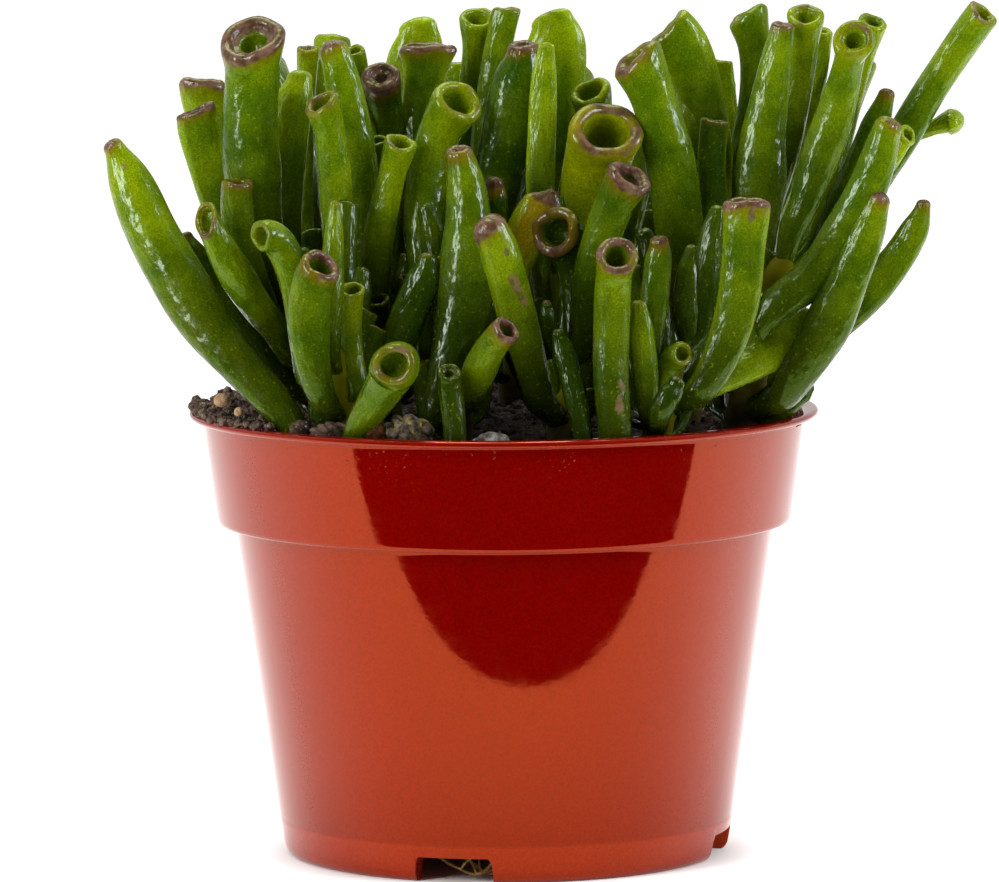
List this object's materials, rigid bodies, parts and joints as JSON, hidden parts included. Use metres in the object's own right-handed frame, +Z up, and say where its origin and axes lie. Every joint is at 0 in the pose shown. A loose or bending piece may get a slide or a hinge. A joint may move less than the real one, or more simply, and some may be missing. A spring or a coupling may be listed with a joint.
{
  "type": "potted jade plant",
  "caption": "Tubular-leaved jade plant, thick leaves with cupped or slanted tips, in a round tapered plastic pot with a stepped collar.",
  "frame": {"origin": "centre of the whole plant's box in x and y, on the surface that the pot stands on", "axes": "+Z up, +X to the right and -Y to the front as the plant is first seen; the pot's axis stands at x = -8.86 mm, y = -1.71 mm"},
  "size_m": [0.168, 0.1234, 0.1622],
  "materials": {
    "pot": "satin terracotta-red moulded plastic",
    "soil": null,
    "leaf": null,
    "stem": "fleshy green-brown stem",
    "stone": null,
    "bark": "rough bark"
  },
  "bodies": {
    "root": {"bark_chip": "bark", "leaf_back_left_inner": "leaf", "leaf_back_left_outer": "leaf", "leaf_back_left_tall": "leaf", "leaf_back_left_trumpet": "leaf", "leaf_back_low": "leaf", "leaf_back_right_flat": "leaf", "leaf_back_right_inner": "leaf", "leaf_back_right_outer": "leaf", "leaf_back_right_trumpet": "leaf", "leaf_back_trumpet": "leaf", "leaf_centre_mauve_trumpet": "leaf", "leaf_centre_trumpet": "leaf", "leaf_front_cup": "leaf", "leaf_front_left_cup": "leaf", "leaf_front_right_cup": "leaf", "leaf_front_right_flat": "leaf", "leaf_front_slanted": "leaf", "leaf_front_tall": "leaf", "leaf_left_back": "leaf", "leaf_left_cup": "leaf", "leaf_left_front_stout": "leaf", "leaf_left_inner_cup": "leaf", "leaf_left_inner_tall": "leaf", "leaf_left_inner_trumpet": "leaf", "leaf_left_outer": "leaf", "leaf_left_slanted": "leaf", "leaf_left_trumpet": "leaf", "leaf_middle_broad": "leaf", "leaf_middle_dark": "leaf", "leaf_middle_flat": "leaf", "leaf_middle_rounded": "leaf", "leaf_middle_small_cup": "leaf", "leaf_middle_trumpet": "leaf", "leaf_right_curved": "leaf", "leaf_right_inner_broad": "leaf", "leaf_right_inner_slanted": "leaf", "leaf_right_inner_tall": "leaf", "leaf_right_low_cup": "leaf", "leaf_right_outer": "leaf", "leaf_right_pointed": "leaf", "leaf_right_tall": "leaf", "leaf_right_trumpet": "leaf", "pebble_grey": "stone", "pebble_lichened": "stone", "pot": "pot", "soil": "soil", "stem_back": "stem", "stem_back_left": "stem", "stem_back_right": "stem", "stem_centre": "stem", "stem_front": "stem", "stem_left": "stem", "stem_left_front": "stem", "stem_left_inner": "stem", "stem_middle": "stem", "stem_middle_right": "stem", "stem_right": "stem", "stem_right_front": "stem", "stem_right_inner": "stem"}
  },
  "joints": []
}
